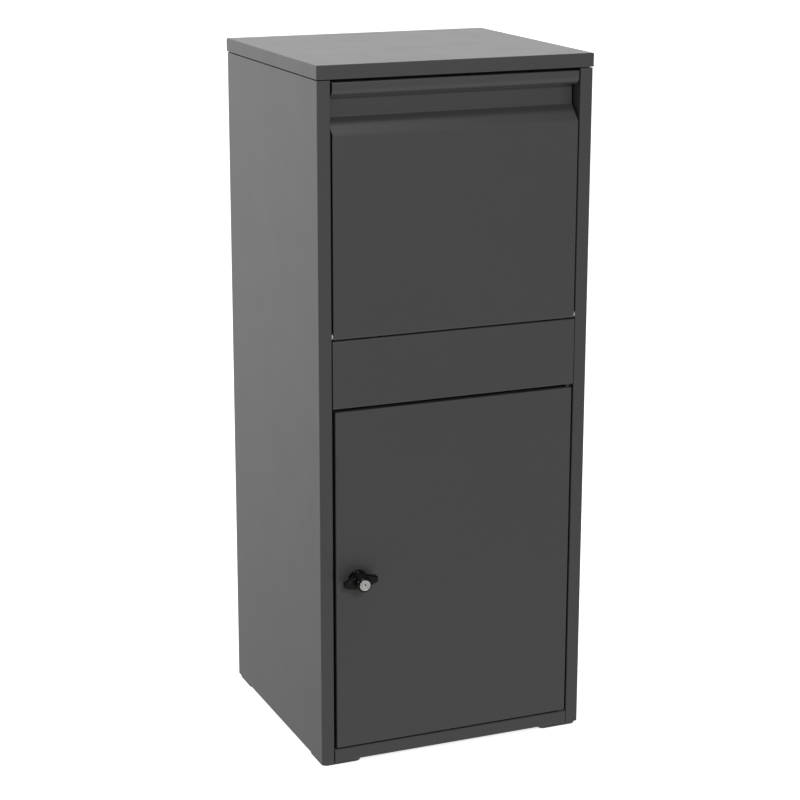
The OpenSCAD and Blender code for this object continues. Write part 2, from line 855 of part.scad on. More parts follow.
module wing_knob() {
    base_r = 13.5;
    base_h = 3.5;
    collar_h = 6;
    hub_r = 11.5;
    shoulder = 0.5;
    rim = 1.5;
    wing_d = 11;
    wing_back = collar_h - 1;
    plug_proud = 1.2;
    plug_seat = 18;
    hub_front = front - knob_out + plug_proud;
    hub_h = knob_y - hub_front;
    color(black) at_lock() difference() {
        union() {
            translate([0, knob_y, 0]) rotate([90, 0, 0]) rotate_extrude()
                polygon([[0, 0], [base_r, 0], [base_r, base_h], [hub_r + shoulder, collar_h],
                    [hub_r, hub_h - 2 * rim], [hub_r - rim, hub_h], [0, hub_h]]);
            translate([0, knob_y - wing_back, 0]) rotate([90, 0, 0])
                linear_extrude(wing_d) rotate(wing_tilt) wing_outline();
        }
        y_rod(plug_r + fit, hub_front - cut, hub_front + plug_seat);
        y_rod(spindle_r, hub_front, knob_y + cut);
    }
}

module lock_spindle() {
    knob_seat = 6.5;         // length held in the knob
    color(zinc) at_lock() y_rod(spindle_r, knob_y - knob_seat, cam_y + cam_t);
}

module lock_cam() {
    corner_r = 3;
    color(zinc) at_lock() difference() {
        translate([0, cam_y + cam_t, 0]) rotate([90, 0, 0]) linear_extrude(cam_t) {
            translate([0, -cam_len / 2]) round_rect(cam_w, cam_len, corner_r);
            circle(cam_w / 2);
        }
        y_rod(spindle_r, cam_y - cut, cam_y + cam_t + cut);
    }
}

module cam_screw() {
    head_r = 7;
    head_h = 3;
    slot_w = 1.4;
    slot_depth = 1.2;
    color(zinc) at_lock() translate([0, cam_y + cam_t, 0]) rotate([-90, 0, 0]) difference() {
        dome_head(head_r, head_h);
        translate([0, 0, head_h])
            cube([2 * head_r + cut, slot_w, 2 * slot_depth], center = true);
    }
}

module key_plug() {
    plug_l = 18;
    keyway_w = 1.6;
    keyway_h = 4;
    keyway_depth = 6;
    keyway_up = 0.9;         // its middle above the plug's axis
    face = front - knob_out;
    color(zinc) at_lock() difference() {
        y_rod(plug_r, face, face + plug_l);
        translate([0, face, keyway_up])
            cube([keyway_w, 2 * keyway_depth, keyway_h], center = true);
    }
}

left_side_panel();
right_side_panel();
back_panel();
floor_pan();
front_rail();
mid_panel();
lintel();
top_cap();
cap_screws();
back_rivets();
mid_panel_rivets();
feet();
foot_screws();
drop_hinge_pins();
drop_hinge_washers();
access_hinge_bushes();
lock_keeper();
door_bumpers();
lintel_bumpers();
drop_door_skin();
drop_door_liner();
drop_hinge_bushes();
hopper_side_left();
hopper_side_right();
hopper_tray();
hopper_rivets();
stop_studs();
stop_buffers();
access_door_skin();
access_door_stiffener();
access_hinge_blocks();
access_hinge_pins();
lock_housing();
lock_nut();
wing_knob();
lock_spindle();
lock_cam();
cam_screw();
key_plug();
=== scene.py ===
"""Looks of the parcel drop box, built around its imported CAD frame. Lengths are in metres."""
import json
import math

import bmesh
import bpy
from mathutils import Matrix, Vector


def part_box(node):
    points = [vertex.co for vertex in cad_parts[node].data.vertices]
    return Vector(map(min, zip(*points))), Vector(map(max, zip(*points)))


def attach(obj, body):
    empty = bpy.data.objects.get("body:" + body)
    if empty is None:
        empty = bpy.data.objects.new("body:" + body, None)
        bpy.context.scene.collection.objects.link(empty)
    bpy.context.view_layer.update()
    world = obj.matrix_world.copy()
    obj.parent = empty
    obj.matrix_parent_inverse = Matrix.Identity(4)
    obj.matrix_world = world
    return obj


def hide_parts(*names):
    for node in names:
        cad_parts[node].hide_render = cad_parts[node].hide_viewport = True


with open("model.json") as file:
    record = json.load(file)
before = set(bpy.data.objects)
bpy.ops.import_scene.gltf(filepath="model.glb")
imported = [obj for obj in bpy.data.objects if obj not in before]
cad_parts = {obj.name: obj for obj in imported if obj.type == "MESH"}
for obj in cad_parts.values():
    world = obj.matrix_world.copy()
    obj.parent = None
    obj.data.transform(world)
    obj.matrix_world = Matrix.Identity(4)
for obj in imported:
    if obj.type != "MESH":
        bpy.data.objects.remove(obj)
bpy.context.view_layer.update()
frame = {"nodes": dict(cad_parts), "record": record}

MM = 0.001
WELD_DISTANCE = 1e-6
FINE_SEGMENTS, SEGMENTS, RIVET_SEGMENTS = 72, 48, 32    # sides of a turned solid
SLOT_OF_NODE = {part["node"]: part["material_slot"] for part in frame["record"]["subparts"]}

# ---- Materials ----


class Finish:
    """A Principled material whose detail comes from noise in the object's own coordinates."""

    def __init__(self, name, **constants):
        self.material = bpy.data.materials.new(name)
        self.material.use_nodes = True
        self.tree = self.material.node_tree
        self.shader = self.tree.nodes["Principled BSDF"]
        self.coords = self.tree.nodes.new("ShaderNodeTexCoord").outputs["Object"]
        self.normal = None
        for socket, value in constants.items():
            self.shader.inputs[socket.replace("_", " ")].default_value = value

    def node(self, kind, inputs, **settings):
        made = self.tree.nodes.new(kind)
        for key, value in settings.items():
            setattr(made, key, value)
        for key, value in inputs.items():
            if isinstance(value, bpy.types.NodeSocket):
                self.tree.links.new(value, made.inputs[key])
            else:
                made.inputs[key].default_value = value
        return made

    def noise(self, scale, detail=2.0, stretch=(1, 1, 1)):
        """Noise of about 1/scale metres, from 0 to 1, drawn out along an axis whose stretch is
        small."""
        mapped = self.node("ShaderNodeMapping", {"Vector": self.coords, "Scale": stretch})
        made = self.node("ShaderNodeTexNoise", {"Vector": mapped.outputs[0], "Scale": scale,
                                                "Detail": detail})
        return made.outputs["Fac"]

    def cells(self, scale):
        """Distance to the nearest of many scattered points, about 1/scale metres apart."""
        made = self.node("ShaderNodeTexVoronoi", {"Vector": self.coords, "Scale": scale})
        return made.outputs["Distance"]

    def spread(self, value, low, high, start=0.3, end=0.7):
        """Takes value from start..end to low..high."""
        made = self.node("ShaderNodeMapRange", {"Value": value, "From Min": start, "From Max": end,
                                                "To Min": low, "To Max": high})
        return made.outputs["Result"]

    def product(self, a, b):
        return self.node("ShaderNodeMath", {0: a, 1: b}, operation="MULTIPLY").outputs[0]

    def colour(self, base, brightness):
        """The base colour times a brightness that varies over the surface."""
        scaled = self.node("ShaderNodeVectorMath", {0: base, "Scale": brightness},
                           operation="SCALE")
        self.tree.links.new(scaled.outputs[0], self.shader.inputs["Base Color"])

    def roughness(self, value):
        self.tree.links.new(value, self.shader.inputs["Roughness"])

    def bump(self, height, depth):
        """Adds relief: height from 0 to 1 stands for depth metres."""
        inputs = {"Height": height, "Distance": depth, "Strength": 1.0}
        if self.normal is not None:
            inputs["Normal"] = self.normal
        self.normal = self.node("ShaderNodeBump", inputs).outputs[0]
        self.tree.links.new(self.normal, self.shader.inputs["Normal"])


def powder_coat(name, base, gloss):
    """Sprayed and baked satin paint: orange peel, a fine grain and slight clouding."""
    coat = Finish(name, IOR=1.5, Specular_IOR_Level=0.5)
    clouds = coat.spread(coat.noise(5, detail=3), 0.985, 1.015)
    grain = coat.spread(coat.noise(1400, detail=1), 0.94, 1.06)
    coat.colour(base, coat.product(clouds, grain))
    coat.roughness(coat.spread(coat.noise(16, detail=4), gloss - 0.012, gloss + 0.012))
    coat.bump(coat.noise(420, detail=1), 22e-6)
    coat.bump(coat.noise(1800, detail=1), 12e-6)
    return coat.material


def zinc_plate(name, base):
    """Zinc plating: small crystals that differ in tone, under faint stains."""
    plate = Finish(name, Metallic=1.0)
    crystals = plate.spread(plate.cells(900), 0.88, 1.1, 0.1, 0.9)
    stains = plate.spread(plate.noise(60, detail=4), 0.9, 1.06)
    plate.colour(base, plate.product(crystals, stains))
    plate.roughness(plate.spread(plate.noise(260, detail=3), 0.3, 0.46))
    plate.bump(plate.noise(1500, detail=2), 10e-6)
    return plate.material


def rubber(name, base):
    """Moulded rubber with a fine spark-eroded grain and a dusty bloom."""
    gum = Finish(name, IOR=1.45)
    bloom = gum.spread(gum.noise(45, detail=4), 0.85, 1.35)
    gum.colour(base, gum.product(bloom, gum.spread(gum.noise(1600), 0.9, 1.1)))
    gum.roughness(gum.spread(gum.noise(120, detail=3), 0.68, 0.86))
    gum.bump(gum.cells(1300), 30e-6)
    return gum.material


def nylon(name, base):
    """Dry moulded nylon."""
    dry = Finish(name, IOR=1.52)
    dry.colour(base, dry.spread(dry.noise(200, detail=3), 0.85, 1.2))
    dry.roughness(dry.spread(dry.noise(350), 0.48, 0.6))
    dry.bump(dry.noise(900), 15e-6)
    return dry.material


def foot_plastic(name, base):
    """Hard polyethylene: a fine moulded grain, scuffed paler here and there."""
    hard = Finish(name, IOR=1.5)
    scuffs = hard.spread(hard.noise(70, detail=5), 0.9, 1.25, 0.45, 0.75)
    hard.colour(base, hard.product(scuffs, hard.spread(hard.noise(1500), 0.92, 1.08)))
    hard.roughness(hard.spread(hard.noise(90, detail=4), 0.5, 0.68))
    hard.bump(hard.cells(1100), 25e-6)
    return hard.material


def knob_plastic(name, base):
    """Glossy black moulded plastic with soft flow marks and light handling wear."""
    plastic = Finish(name, IOR=1.5, Specular_IOR_Level=0.22)
    plastic.colour(base, plastic.spread(plastic.noise(140, detail=4), 0.8, 1.25))
    plastic.roughness(plastic.spread(plastic.noise(420, detail=4), 0.14, 0.27))
    plastic.bump(plastic.noise(260, detail=2), 30e-6)
    return plastic.material


def satin_nickel(name, base):
    """Satin nickel plating: a mottled bloom, and fine grain drawn out along X."""
    nickel = Finish(name, Metallic=1.0)
    nickel.colour(base, nickel.spread(nickel.noise(500, detail=4), 0.72, 1.12))
    nickel.roughness(nickel.spread(nickel.noise(900, detail=2), 0.26, 0.4))
    nickel.bump(nickel.noise(1500, detail=2, stretch=(0.3, 1, 1)), 12e-6)
    return nickel.material


FINISHES = {
    "powder_coat": powder_coat("powder_coat", (0.052, 0.052, 0.052), 0.44),
    "inner_coat": powder_coat("inner_coat", (0.057, 0.057, 0.057), 0.5),
    "zinc": zinc_plate("zinc", (0.56, 0.57, 0.58)),
    "rubber": rubber("rubber", (0.02, 0.02, 0.021)),
    "foot_plastic": foot_plastic("foot_plastic", (0.045, 0.0452, 0.0455)),
    "nylon": nylon("nylon", (0.03, 0.03, 0.031)),
    "knob_plastic": knob_plastic("knob_plastic", (0.002, 0.002, 0.0021)),
    "plug_metal": satin_nickel("plug_metal", (0.62, 0.615, 0.595)),
}

# ---- Mesh helpers ----


def ring_reach(point, angle):
    """Distance of a ring's outline from the axis. A point is (radius, height), with the number of
    sides after it where the ring is a polygon whose flats are at radius, and then the radius of
    the circle that trims its corners."""
    radius = point[0]
    if len(point) < 3:
        return radius
    half = math.pi / point[2]
    flat = radius / math.cos((angle + half) % (2 * half) - half)
    return min(flat, point[3]) if len(point) > 3 else flat


def lathe(profile, ring=False, segments=FINE_SEGMENTS):
    """A solid of revolution about Z. Its profile starts and ends on the axis, or, if ring is true,
    closes on itself round a bore."""
    bm = bmesh.new()
    angles = [2 * math.pi * k / segments for k in range(segments)]
    rings = []
    for point in profile:
        if point[0] == 0:
            rings.append([bm.verts.new((0, 0, point[1]))])
            continue
        reach = [ring_reach(point, a) for a in angles]
        rings.append([bm.verts.new((r * math.cos(a), r * math.sin(a), point[1]))
                      for r, a in zip(reach, angles)])
    pairs = list(zip(rings, rings[1:]))
    if ring:
        pairs.append((rings[-1], rings[0]))
    for low, high in pairs:
        for k in range(segments):
            n = (k + 1) % segments
            corners = [low[k % len(low)], low[n % len(low)], high[n % len(high)],
                       high[k % len(high)]]
            unique = list(dict.fromkeys(corners))
            if len(unique) > 2:
                bm.faces.new(unique)
    bmesh.ops.recalc_face_normals(bm, faces=bm.faces)
    return bm


def in_mm(points):
    """Lathe or outline points given in millimetres."""
    return [(p[0] * MM, p[1] * MM, *p[2:3], *(v * MM for v in p[3:])) for p in points]


def arc(centre_r, centre_h, radius, start, end, steps=6):
    """Profile points along an arc, from the angle start to the angle end, in degrees."""
    turns = [math.radians(start + (end - start) * k / steps) for k in range(steps + 1)]
    return [(centre_r + radius * math.cos(t), centre_h + radius * math.sin(t)) for t in turns]


def prism(outline, low, high, edge=0.0):
    """Fills an outline in X and Y from the height low to high, its rims drawn in by edge."""
    bm = bmesh.new()
    middle = sum((Vector(p) for p in outline), Vector((0, 0))) / len(outline)
    levels = [(low, edge), (low + edge, 0.0), (high - edge, 0.0), (high, edge)]
    if not edge:
        levels = levels[1:3]
    loops = []
    for height, inset in levels:
        loop = []
        for p in outline:
            way = Vector(p) - middle
            loop.append(bm.verts.new((*(middle + way * (1 - inset / way.length)), height)))
        loops.append(loop)
    for below, above in zip(loops, loops[1:]):
        for k in range(len(outline)):
            n = (k + 1) % len(outline)
            bm.faces.new((below[k], below[n], above[n], above[k]))
    bm.faces.new(list(reversed(loops[0])))
    bm.faces.new(loops[-1])
    bmesh.ops.recalc_face_normals(bm, faces=bm.faces)
    return bm


def solved(bm, *modifiers):
    """The mesh after modifiers, each given as a type and its settings, have been applied."""
    mesh = bpy.data.meshes.new("scratch")
    bm.to_mesh(mesh)
    bm.free()
    holder = bpy.data.objects.new("scratch", mesh)
    bpy.context.scene.collection.objects.link(holder)
    for kind, settings in modifiers:
        modifier = holder.modifiers.new(kind.lower(), kind)
        for key, value in settings.items():
            setattr(modifier, key, value)
    shaped = holder.evaluated_get(bpy.context.evaluated_depsgraph_get()).to_mesh()
    result = bmesh.new()
    result.from_mesh(shaped)
    bpy.data.objects.remove(holder)
    bpy.data.meshes.remove(mesh)
    return result


def carved(bm, cutter):
    """The mesh with another closed mesh cut out of it."""
    mesh = bpy.data.meshes.new("cutter")
    cutter.to_mesh(mesh)
    cutter.free()
    tool = bpy.data.objects.new("cutter", mesh)
    bpy.context.scene.collection.objects.link(tool)
    result = solved(bm, ("BOOLEAN", {"object": tool, "operation": "DIFFERENCE",
                                     "solver": "EXACT"}))
    bpy.data.objects.remove(tool)
    bpy.data.meshes.remove(mesh)
    return result


def standing(bm, foot, axis):
    """Moves a mesh so that its origin is at foot and its +Z runs along axis."""
    turn = Vector(axis).to_track_quat("Z", "Y").to_matrix().to_4x4()
    bmesh.ops.transform(bm, matrix=Matrix.Translation(foot) @ turn, verts=bm.verts)
    return bm


def joined(meshes):
    """One bmesh with all of the given ones in it."""
    whole = bmesh.new()
    for bm in meshes:
        scratch = bpy.data.meshes.new("scratch")
        bm.to_mesh(scratch)
        whole.from_mesh(scratch)
        bpy.data.meshes.remove(scratch)
        bm.free()
    return whole


def piece(name, bm, body, slot, stands_for=(), smooth_angle=35):
    """Makes a finished object of a bmesh, smooth but for edges sharper than smooth_angle
    degrees."""
    mesh = bpy.data.meshes.new(name)
    limit = math.radians(smooth_angle)
    for face in bm.faces:
        face.smooth = True
    for edge in bm.edges:
        edge.smooth = edge.is_manifold and edge.calc_face_angle(0) < limit
    bm.to_mesh(mesh)
    bm.free()
    made = bpy.data.objects.new(name, mesh)
    bpy.context.scene.collection.objects.link(made)
    made.data.materials.append(FINISHES[slot])
    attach(made, body)
    if stands_for:
        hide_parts(*stands_for)
    return made


def solids_of(node):
    """(lowest corner, highest corner) of each separate solid of a CAD node."""
    bm = bmesh.new()
    bm.from_mesh(frame["nodes"][node].data)
    bmesh.ops.remove_doubles(bm, verts=bm.verts, dist=WELD_DISTANCE)
    left, boxes = set(bm.verts), []
    while left:
        front = [next(v for v in bm.verts if v in left)]
        left.discard(front[0])
        found = []
        while front:
            vert = front.pop()
            found.append(vert.co.copy())
            for edge in vert.link_edges:
                other = edge.other_vert(vert)
                if other in left:
                    left.discard(other)
                    front.append(other)
        boxes.append((Vector(map(min, *found)), Vector(map(max, *found))))
    bm.free()
    return boxes


# ---- Looks of the CAD nodes ----

for name, node in frame["nodes"].items():
    node.data.materials.clear()
    node.data.materials.append(FINISHES[SLOT_OF_NODE[name]])

FOLDED_SHEETS = ["left_side_panel", "right_side_panel", "back_panel", "front_rail", "mid_panel",
                 "lintel", "drop_door_skin", "hopper_tray", "access_door_stiffener",
                 "lock_keeper"]
SHARPEST_FOLD_STEP = math.radians(14)
LARGE_FACES_FIRST = 100    # how far large flats, not small steps, set the normals


def fold_shading():
    """A node group that shades a sheet's folds as round, and keeps its real edges sharp."""
    tree = bpy.data.node_groups.new("fold_shading", "GeometryNodeTree")
    tree.interface.new_socket("Geometry", in_out="INPUT", socket_type="NodeSocketGeometry")
    tree.interface.new_socket("Geometry", in_out="OUTPUT", socket_type="NodeSocketGeometry")
    add, link = tree.nodes.new, tree.links.new
    source, result = add("NodeGroupInput"), add("NodeGroupOutput")
    welded = add("GeometryNodeMergeByDistance")
    welded.inputs["Distance"].default_value = WELD_DISTANCE
    bare = add("GeometryNodeRemoveAttribute")
    bare.inputs["Name"].default_value = "custom_normal"
    faces = add("GeometryNodeSetShadeSmooth")
    edges = add("GeometryNodeSetShadeSmooth")
    edges.domain = "EDGE"
    edges.inputs["Shade Smooth"].default_value = False
    angle, sharp = add("GeometryNodeInputMeshEdgeAngle"), add("FunctionNodeCompare")
    sharp.inputs["B"].default_value = SHARPEST_FOLD_STEP
    link(source.outputs[0], welded.inputs["Geometry"])
    link(welded.outputs[0], bare.inputs["Geometry"])
    link(bare.outputs[0], faces.inputs["Geometry"])
    link(faces.outputs[0], edges.inputs["Geometry"])
    link(angle.outputs["Unsigned Angle"], sharp.inputs["A"])
    link(sharp.outputs[0], edges.inputs["Selection"])
    link(edges.outputs[0], result.inputs[0])
    return tree


shading = fold_shading()
for name in FOLDED_SHEETS:
    sheet = frame["nodes"][name]
    sheet.modifiers.new("folds", "NODES").node_group = shading
    weighted = sheet.modifiers.new("flats", "WEIGHTED_NORMAL")
    weighted.weight = LARGE_FACES_FIRST
    weighted.keep_sharp = True

# ---- Lock ----

plug_low, plug_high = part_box("key_plug")
knob_low, knob_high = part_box("wing_knob")
LOCK_X, LOCK_Z = (plug_low.x + plug_high.x) / 2, (plug_low.z + plug_high.z) / 2
OUTWARD, INWARD = (0, -1, 0), (0, 1, 0)
WING_TILT = math.radians(6)
CUT_OVER = 1    # how far a cutter reaches beyond the face that it cuts, in mm


def make_wing_knob():
    """Moulded knob: a hub that tapers from a round base, and two blunt wings grown out of it."""
    base_y = knob_high.y
    front = (knob_high.y - knob_low.y) / MM
    bore_r, bore_floor = 7.9, front - 17.5
    base_r, base_h, base_roll, foot_edge = 13.4, 1.6, 3.2, 0.5
    rim_roll, bore_edge = 2.8, 0.3
    hub = [(0, 0), (base_r - foot_edge, 0), (base_r, foot_edge), (base_r, base_h)]
    hub += arc(base_r - base_roll, base_h, base_roll, 10, 62)
    hub += [(11.4, 6.0), (11.3, 12.0), (11.2, front - 3.4)]
    hub += arc(11.2 - rim_roll, front - rim_roll, rim_roll, 5, 90)
    hub += [(bore_r + bore_edge, front), (bore_r, front - bore_edge), (bore_r, bore_floor),
            (0, bore_floor)]
    meshes = [lathe(in_mm(hub))]
    tip, root_h, tip_h, corner_r = 24.8, 9.6, 4.9, 2.4
    wing_low, wing_high, wing_edge = 5.3, 15.8, 1.1
    grid = 0.42    # the remesh's grid, which melts hub and wings together
    for side in (0, math.pi):
        half = [(8.6, -root_h), (12.0, -8.2), (17.0, -6.5)]
        half += arc(tip - corner_r, corner_r - tip_h, corner_r, -100, 0)
        lower = [Vector(p) * MM for p in half]
        upper = [Vector((p.x, -p.y)) for p in reversed(lower)]
        wing = prism(lower + upper, wing_low * MM, wing_high * MM, wing_edge * MM)
        turn = Matrix.Rotation(WING_TILT + side, 4, "Z")
        bmesh.ops.transform(wing, matrix=turn, verts=wing.verts)
        meshes.append(wing)
    body = solved(joined(meshes), ("REMESH", {"mode": "VOXEL", "voxel_size": grid * MM}),
                  ("SMOOTH", {"factor": 0.5, "iterations": 5}))
    standing(body, (LOCK_X, base_y, LOCK_Z), OUTWARD)
    piece("lock_wing_knob", body, "lock_knob", "knob_plastic", ["wing_knob"], smooth_angle=60)


def make_key_plug():
    """Turned plug: a rounded rim, two fine rings in the face and a keyway above its centre."""
    radius = (plug_high.x - plug_low.x) / 2 / MM
    length = (plug_high.y - plug_low.y) / MM
    chamfer, rim = 0.4, 0.5
    profile = [(0, 0), (radius - chamfer, 0), (radius, chamfer), (radius, length - rim)]
    profile += arc(radius - rim, length - rim, rim, 0, 90, 4)
    for ring_r, half, depth in ((5.4, 0.5, 0.5), (3.4, 0.3, 0.3)):
        profile += [(ring_r + half, length), (ring_r + half * 0.6, length - depth),
                    (ring_r - half * 0.6, length - depth), (ring_r - half, length)]
    profile += [(1.4, length), (0, length)]
    keyway_half, keyway_end, keyway_up, keyway_depth = 0.8, 1.2, 0.9, 6
    slot = arc(0, keyway_up + keyway_end, keyway_half, 0, 180)
    slot += arc(0, keyway_up - keyway_end, keyway_half, 180, 360)
    cutter = prism([Vector(p) * MM for p in slot], (length - keyway_depth) * MM,
                   (length + CUT_OVER) * MM)
    plug = carved(lathe(in_mm(profile)), cutter)
    standing(plug, (LOCK_X, plug_high.y, LOCK_Z), OUTWARD)
    piece("lock_key_plug", plug, "lock_plug", "plug_metal", ["key_plug"])


def make_lock_housing():
    """Round rosette and a threaded barrel, drilled for the spindle."""
    low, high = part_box("lock_housing")
    rosette_r = (high.x - low.x) / 2 / MM
    length = (high.y - low.y) / MM
    barrel_r, bore_r, rosette_h, rim = 9.35, 4.05, 2.0, 0.9
    pitch, thread_depth, plain_neck, end_chamfer = 1.5, 0.5, 3, 0.7
    profile = [(bore_r, 0), (bore_r, length), (rosette_r - 0.8, length)]
    profile += arc(rosette_r - rim, length - rim, rim, 60, 0, 4)
    profile += [(rosette_r, length - rosette_h), (barrel_r, length - rosette_h)]
    thread = length - rosette_h - plain_neck
    while thread > pitch:
        profile += [(barrel_r, thread), (barrel_r - thread_depth, thread - pitch / 2)]
        thread -= pitch
    profile += [(barrel_r, thread), (barrel_r - end_chamfer, 0)]
    barrel = standing(lathe(in_mm(profile), ring=True), (LOCK_X, high.y, LOCK_Z), OUTWARD)
    piece("lock_rosette_and_barrel", barrel, "access_door", "knob_plastic", ["lock_housing"])


def make_lock_nut():
    """Hexagonal lock nut with trimmed corners."""
    low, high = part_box("lock_nut")
    height = (high.y - low.y) / MM
    corner_r, bore_r, sides, edge = 14.0, 9.4, 6, 0.4
    trim_h, full_h = 0.5, 1.1    # where a corner's trimming starts and where it has ended
    flat_r = corner_r * math.cos(math.pi / sides)
    profile = [(bore_r, edge), (bore_r, height - edge), (bore_r + edge, height),
               (flat_r - edge, height), (flat_r, height - trim_h, sides, flat_r + edge),
               (flat_r, height - full_h, sides, corner_r), (flat_r, full_h, sides, corner_r),
               (flat_r, trim_h, sides, flat_r + edge), (flat_r - edge, 0), (bore_r + edge, 0)]
    nut = standing(lathe(in_mm(profile), ring=True), (LOCK_X, high.y, LOCK_Z), OUTWARD)
    piece("barrel_lock_nut", nut, "access_door", "zinc", ["lock_nut"], smooth_angle=25)


def make_cam_screw():
    """Slotted cheese-head screw that holds the cam on the spindle."""
    low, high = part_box("cam_screw")
    radius, height = (high.x - low.x) / 2 / MM, (high.y - low.y) / MM
    chamfer, crown = 0.2, 1.2
    profile = [(0, 0), (radius - chamfer, 0), (radius, chamfer), (radius, height - crown)]
    profile += arc(radius - crown, height - crown, crown, 0, 75) + [(0, height)]
    slot_w, slot_l, slot_d = 0.7, 8, 1.2
    outline = [(-slot_l, -slot_w), (slot_l, -slot_w), (slot_l, slot_w), (-slot_l, slot_w)]
    cutter = prism([Vector(p) * MM for p in outline], (height - slot_d) * MM,
                   (height + CUT_OVER) * MM)
    screw = standing(carved(lathe(in_mm(profile)), cutter), (LOCK_X, low.y, LOCK_Z), INWARD)
    piece("cam_retaining_screw", screw, "lock_knob", "zinc", ["cam_screw"])


# ---- Feet, fasteners and rubbers ----


def make_feet():
    """Moulded pads with a rounded lower edge and a shallow hollow underneath."""
    corner_r, tuck, hollow, wall = 8, 1.6, 1.2, 4
    edge = 0.3    # small chamfer of the upper rim and of the hollow's floor
    pads = []
    for low, high in solids_of("feet"):
        centre, half = (low + high) / 2, (high - low) / 2 / MM
        height = half.z * 2

        def outline(inset):
            w, d, r = half.x - inset, half.y - inset, corner_r - inset / 2
            corners = [(w - r, d - r, 0), (r - w, d - r, 90),
                       (r - w, r - d, 180), (w - r, r - d, 270)]
            return [p for x, y, turn in corners for p in arc(x, y, r, turn, turn + 90, 8)]

        # (inset, height) of each loop, from the hollow's floor round to the upper rim
        levels = [(wall + 1, hollow), (wall, hollow - edge), (wall - 0.5, 0), (tuck, 0),
                  (tuck * 0.45, 0.45), (tuck * 0.12, 1.2), (0, 2.2), (0, height - edge),
                  (edge, height)]
        bm = bmesh.new()
        loops = [[bm.verts.new((x * MM, y * MM, z * MM)) for x, y in outline(inset)]
                 for inset, z in levels]
        for below, above in zip(loops, loops[1:]):
            for k in range(len(below)):
                n = (k + 1) % len(below)
                bm.faces.new((below[k], below[n], above[n], above[k]))
        bm.faces.new(list(reversed(loops[0])))
        bm.faces.new(loops[-1])
        bmesh.ops.recalc_face_normals(bm, faces=bm.faces)
        pads.append(standing(bm, (centre.x, centre.y, low.z), (0, 0, 1)))
    piece("moulded_feet", joined(pads), "cabinet", "foot_plastic", ["feet"])


RIVET_HEAD_R, RIVET_HEAD_H, RIVET_R, RIVET_TAIL_R = 3.15, 1.0, 1.6, 2.15
RIVET_TAIL_EDGE, RIVET_TAIL_MIDDLE, RIVET_TAIL_END = 0.2, 0.5, 0.8
SCREW_HEAD_R, SCREW_HEAD_H, SCREW_R = 3.95, 2.4, 2.05
SCREW_PITCH, SCREW_THREAD_DEPTH, SCREW_NECK = 0.7, 0.32, 0.6
SOCKET_SIDES, SOCKET_FLAT_R, SOCKET_FLOOR = 6, 1.4, 1.0


def pop_rivet(below, tail=True):
    """Blind rivet: domed head with the broken mandrel sunk in it, and a shank that ends in a set
    tail or, where tail is false, in the mandrel's tip."""
    end = -below
    if tail:
        profile = [(0, end), (1.2, end),
                   (RIVET_TAIL_R - RIVET_TAIL_EDGE, end + RIVET_TAIL_EDGE),
                   (RIVET_TAIL_R, end + RIVET_TAIL_MIDDLE),
                   (RIVET_TAIL_R - RIVET_TAIL_EDGE, end + RIVET_TAIL_END),
                   (RIVET_R, end + RIVET_TAIL_END)]
    else:
        profile = [(0, end + 0.25), (0.8, end + 0.2), (1.0, end), (RIVET_R, end)]
    profile += [(RIVET_R, 0), (RIVET_HEAD_R - 0.1, 0), (RIVET_HEAD_R, 0.12),
                (RIVET_HEAD_R - 0.2, 0.32), (2.5, 0.62), (1.9, 0.86), (1.35, RIVET_HEAD_H),
                (1.1, RIVET_HEAD_H), (0.95, 0.85), (0.9, 0.4), (0.75, 0.35), (0, 0.5)]
    return lathe(in_mm(profile), segments=RIVET_SEGMENTS)


def pan_screw(below):
    """Pan-head screw with a hexagonal socket and a threaded shank."""
    profile = [(0, -below), (SCREW_R - 0.5, -below)]
    height = -below + 0.3
    while height < -SCREW_NECK - SCREW_PITCH:
        profile += [(SCREW_R - SCREW_THREAD_DEPTH, height), (SCREW_R, height + SCREW_PITCH / 2)]
        height += SCREW_PITCH
    profile += [(SCREW_R - 0.3, height), (SCREW_R - 0.3, 0), (SCREW_HEAD_R - 0.2, 0),
                (SCREW_HEAD_R, 0.25), (SCREW_HEAD_R - 0.1, 0.8), (SCREW_HEAD_R - 0.5, 1.45),
                (SCREW_HEAD_R - 1.2, 2.0), (2.2, SCREW_HEAD_H - 0.08), (1.75, SCREW_HEAD_H),
                (1.5, SCREW_HEAD_H - 0.15, SOCKET_SIDES),
                (SOCKET_FLAT_R, SCREW_HEAD_H - 0.3, SOCKET_SIDES),
                (SOCKET_FLAT_R, SOCKET_FLOOR, SOCKET_SIDES), (0, 0.8)]
    return lathe(in_mm(profile), segments=SEGMENTS)


def make_fasteners(name, node, body, head_h, way_of, make):
    """Replaces each solid of a node of fasteners by a detailed one whose head looks along
    way_of."""
    meshes = []
    for low, high in solids_of(node):
        way = Vector(way_of((low + high) / 2))
        foot = (low + high) / 2
        for k in range(3):
            if way[k]:
                foot[k] = high[k] if way[k] > 0 else low[k]
        foot -= way * head_h * MM
        below = abs((high - low).dot(way)) / MM - head_h
        meshes.append(standing(make(below), foot, way))
    piece(name, joined(meshes), body, "zinc", [node], smooth_angle=40)


def hopper_rivet_way(centre):
    """The tray's rivets look outwards and the liner's rivets look backwards."""
    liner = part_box("drop_door_liner")[1].y
    if centre.y < liner + 2 * RIVET_HEAD_R * MM:
        return (0, 1, 0)
    return (math.copysign(1, centre.x), 0, 0)


def rubber_button(radius, length, lip=0.8):
    """A rubber button with a soft rounded end and a shallow groove round its foot."""
    groove_r = radius - 0.35
    profile = [(0, 0), (radius, 0), (radius, length * 0.25), (groove_r, length * 0.3),
               (groove_r, length * 0.4), (radius, length * 0.45), (radius, length - lip)]
    profile += arc(radius - lip, length - lip, lip, 0, 90)[1:] + [(0, length)]
    return lathe(in_mm(profile), segments=SEGMENTS)


